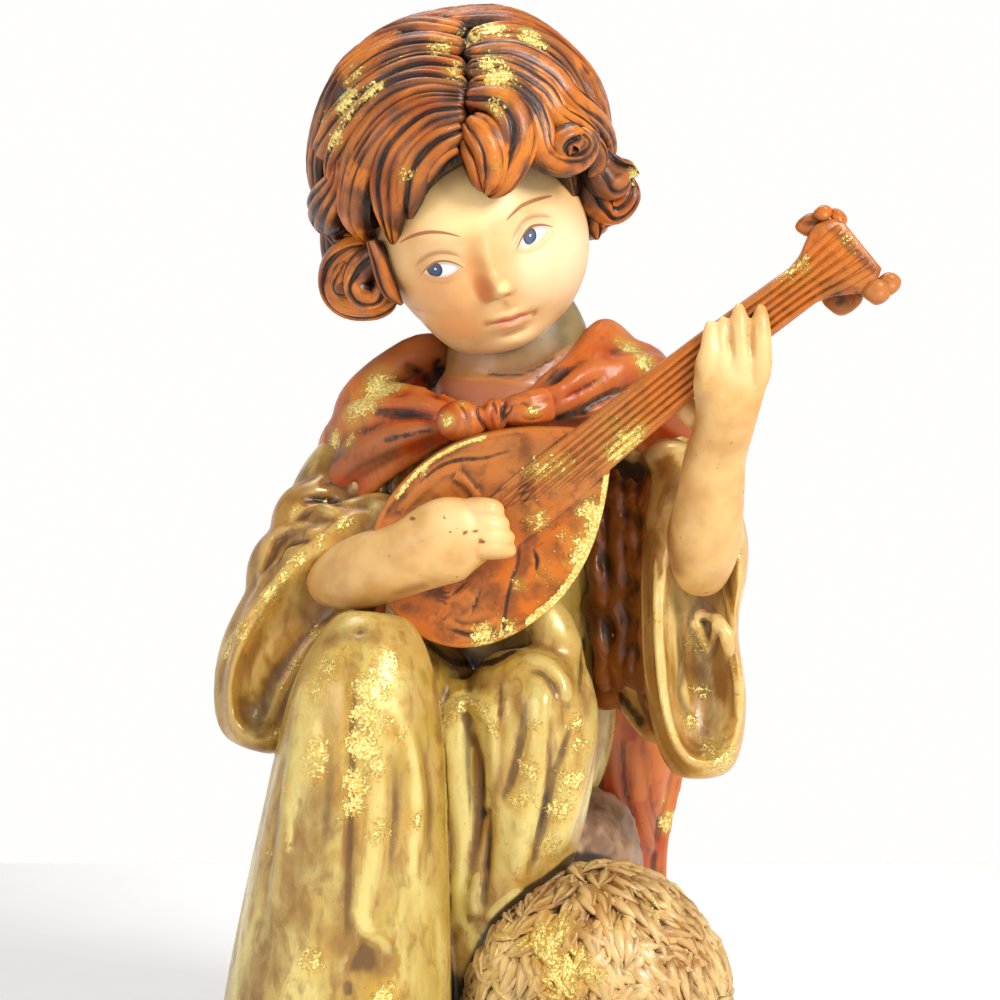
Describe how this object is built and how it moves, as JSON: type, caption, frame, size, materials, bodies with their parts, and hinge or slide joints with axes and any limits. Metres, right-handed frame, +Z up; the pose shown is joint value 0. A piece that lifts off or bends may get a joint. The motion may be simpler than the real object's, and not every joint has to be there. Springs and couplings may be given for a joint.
{
  "type": "shepherd figurine",
  "caption": "Cast and painted figurine of a seated shepherd child in a robe and tied cloak, playing a long-necked lute, with a lamb lying by the legs on a low ground.",
  "frame": {"origin": "middle of the flat underside of the ground that the child and the lamb rest on", "axes": "+Z up, -Y the way the child faces, +X the child's left hand side, which is on the right of the picture"},
  "size_m": [0.1832, 0.1303, 0.3014],
  "materials": {
    "casting": "hand painted under a satin varnish, with worn gold leaf and a brown antiquing wash in the hollows"
  },
  "bodies": {
    "root": {"figurine": "casting"}
  },
  "joints": []
}
